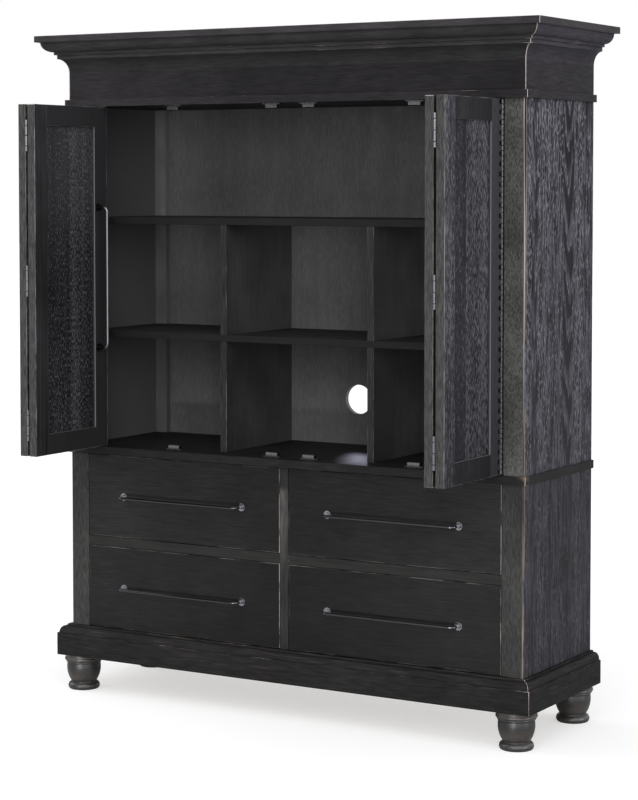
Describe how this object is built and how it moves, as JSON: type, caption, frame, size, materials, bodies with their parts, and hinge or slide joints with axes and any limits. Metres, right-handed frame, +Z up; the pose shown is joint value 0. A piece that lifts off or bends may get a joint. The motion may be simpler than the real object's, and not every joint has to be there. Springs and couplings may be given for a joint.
{
  "type": "media cabinet",
  "caption": "Black oak media cabinet on bun feet: drawers below, open cubbies and a wide bay above behind bi-fold panelled doors, under a moulded cornice.",
  "frame": {"origin": "on the floor, under the middle of the box round the cabinet with its doors folded open", "axes": "+X to the right as seen from the front, +Y towards the back, +Z up"},
  "size_m": [1.669, 0.799, 1.98],
  "materials": {
    "black_oak": "black stained oak, satin, rubbed through to pale wood along its edges",
    "brushed_oak": "black stained wire-brushed oak with pale open grain",
    "black_interior": "black stained veneer, matte",
    "plain_wood": "plain sanded hardwood",
    "pewter": "dark pewter plating, satin",
    "nickel": "nickel plated steel",
    "zinc_steel": "zinc plated steel"
  },
  "bodies": {
    "carcase": {"bun_feet": "black_oak", "plinth_front": "black_oak", "plinth_sides": "black_oak", "lower_side_left": "black_oak", "lower_side_right": "black_oak", "lower_stiles": "black_oak", "lower_centre_stile": "black_oak", "drawer_rails": "black_oak", "waist_board": "black_oak", "upper_side_left": "black_oak", "upper_side_right": "black_oak", "upper_stiles": "black_oak", "frieze_front": "black_oak", "frieze_sides": "black_oak", "crown_front": "black_oak", "crown_sides": "black_oak", "cap_board": "black_oak", "lower_back": "black_interior", "upper_back": "black_interior", "back_posts": "black_interior", "top_shelf": "black_interior", "middle_shelf": "black_interior", "cubby_dividers": "black_interior", "ceiling_board": "black_interior", "corner_blocks": "plain_wood", "plinth_back_rail": "plain_wood", "base_deck": "plain_wood", "drawer_partition": "plain_wood", "drawer_runners": "plain_wood", "magnetic_catches": "nickel", "piano_hinge_case_leaves": "nickel", "foot_bolts": "zinc_steel"},
    "left_outer_leaf": {"left_outer_door_frame": "black_oak", "left_outer_door_panel": "brushed_oak", "left_outer_door_piano_hinge_leaf": "nickel", "left_outer_door_fittings": "nickel"},
    "left_inner_leaf": {"left_inner_door_frame": "black_oak", "left_inner_door_panel": "brushed_oak", "left_inner_door_pull": "pewter", "left_inner_door_fittings": "nickel"},
    "right_outer_leaf": {"right_outer_door_frame": "black_oak", "right_outer_door_panel": "brushed_oak", "right_outer_door_piano_hinge_leaf": "nickel", "right_outer_door_fittings": "nickel"},
    "right_inner_leaf": {"right_inner_door_frame": "black_oak", "right_inner_door_panel": "brushed_oak", "right_inner_door_pull": "pewter", "right_inner_door_fittings": "nickel"},
    "lower_left_drawer": {"lower_left_drawer_front": "black_oak", "lower_left_drawer_box": "plain_wood", "lower_left_drawer_pull": "pewter"},
    "lower_right_drawer": {"lower_right_drawer_front": "black_oak", "lower_right_drawer_box": "plain_wood", "lower_right_drawer_pull": "pewter"},
    "upper_left_drawer": {"upper_left_drawer_front": "black_oak", "upper_left_drawer_box": "plain_wood", "upper_left_drawer_pull": "pewter"},
    "upper_right_drawer": {"upper_right_drawer_front": "black_oak", "upper_right_drawer_box": "plain_wood", "upper_right_drawer_pull": "pewter"}
  },
  "joints": [
    {"name": "right_door_swing", "type": "hinge", "parent": "carcase", "child": "right_outer_leaf", "pos_m": [0.6898, -0.05903, 1.2585], "axis": [0, 0, 1], "range_deg": [-90, 0]},
    {"name": "right_door_fold", "type": "hinge", "parent": "right_outer_leaf", "child": "right_inner_leaf", "pos_m": [0.6608, -0.39572, 1.2585], "axis": [0, 0, 1], "range_deg": [0, 180]},
    {"name": "left_door_swing", "type": "hinge", "parent": "carcase", "child": "left_outer_leaf", "pos_m": [-0.6898, -0.05903, 1.2585], "axis": [0, 0, 1], "range_deg": [0, 90]},
    {"name": "left_door_fold", "type": "hinge", "parent": "left_outer_leaf", "child": "left_inner_leaf", "pos_m": [-0.6608, -0.39572, 1.2585], "axis": [0, 0, 1], "range_deg": [-180, 0]},
    {"name": "lower_left_drawer_slide", "type": "slide", "parent": "carcase", "child": "lower_left_drawer", "axis": [0, -1, 0], "range_m": [0, 0.33]},
    {"name": "lower_right_drawer_slide", "type": "slide", "parent": "carcase", "child": "lower_right_drawer", "axis": [0, -1, 0], "range_m": [0, 0.33]},
    {"name": "upper_left_drawer_slide", "type": "slide", "parent": "carcase", "child": "upper_left_drawer", "axis": [0, -1, 0], "range_m": [0, 0.33]},
    {"name": "upper_right_drawer_slide", "type": "slide", "parent": "carcase", "child": "upper_right_drawer", "axis": [0, -1, 0], "range_m": [0, 0.33]}
  ],
  "couplings": [
    {"joint": "right_door_fold", "follows": "right_door_swing", "ratio": -2},
    {"joint": "left_door_fold", "follows": "left_door_swing", "ratio": -2}
  ]
}
